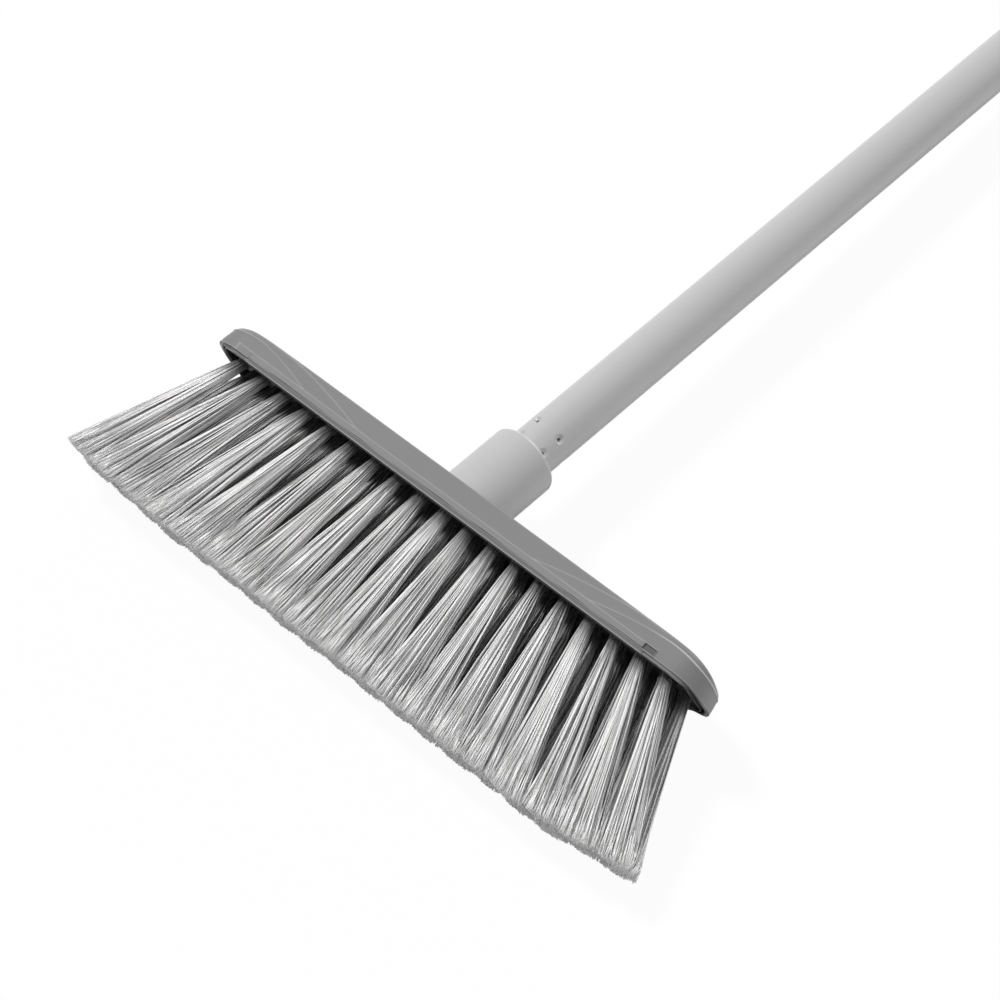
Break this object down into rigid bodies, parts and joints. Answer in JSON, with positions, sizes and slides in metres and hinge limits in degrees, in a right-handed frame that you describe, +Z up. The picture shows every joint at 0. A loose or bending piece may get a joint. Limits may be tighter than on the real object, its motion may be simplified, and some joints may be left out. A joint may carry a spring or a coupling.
{
  "type": "indoor broom",
  "caption": "Household broom: a slim rounded head with rows of flared bristle tufts, a leaning socket collar and a long tubular screw-in handle with a hanging cap.",
  "frame": {"origin": "centre of the bounding box's base, on the floor under the lying broom", "axes": "+X along the head, +Y along the handle from the head to the end cap, +Z up from the floor through the head's front face"},
  "size_m": [0.3088, 1.289, 0.0514],
  "materials": {
    "shell_plastic": "satin moulded, fine grain",
    "block_plastic": "satin moulded",
    "collar_plastic": "satin moulded",
    "bristle_fibre": "fine plastic filaments with split tips",
    "ring_plastic": "satin moulded",
    "tube_paint": "satin paint on thin steel tube",
    "tip_plastic": "satin moulded",
    "cap_plastic": "satin moulded"
  },
  "bodies": {
    "head": {"head_shell": "shell_plastic", "bristle_block": "block_plastic", "socket_collar": "collar_plastic", "tuft_column_01": "bristle_fibre", "tuft_column_02": "bristle_fibre", "tuft_column_03": "bristle_fibre", "tuft_column_04": "bristle_fibre", "tuft_column_05": "bristle_fibre", "tuft_column_06": "bristle_fibre", "tuft_column_07": "bristle_fibre", "tuft_column_08": "bristle_fibre", "tuft_column_09": "bristle_fibre", "tuft_column_10": "bristle_fibre", "tuft_column_11": "bristle_fibre", "tuft_column_12": "bristle_fibre", "tuft_column_13": "bristle_fibre", "tuft_column_14": "bristle_fibre", "tuft_column_15": "bristle_fibre", "tuft_column_16": "bristle_fibre", "tuft_column_17": "bristle_fibre", "tuft_column_18": "bristle_fibre", "tuft_column_19": "bristle_fibre"},
    "ring": {"mouth_ring": "ring_plastic"},
    "handle": {"handle_tube": "tube_paint", "threaded_tip": "tip_plastic", "end_cap": "cap_plastic"}
  },
  "joints": [
    {"name": "handle_turn", "type": "hinge", "parent": "head", "child": "ring", "pos_m": [0, -0.52669, 0.03419], "axis": [0, 0.9998, -0.019], "range_deg": [0, 1800.1]},
    {"name": "handle_advance", "type": "slide", "parent": "ring", "child": "handle", "axis": [0, 0.9998, -0.019], "range_m": [0, 0.025]}
  ],
  "couplings": [
    {"joint": "handle_turn", "follows": "handle_advance", "rad_per_m": 1256.6}
  ]
}
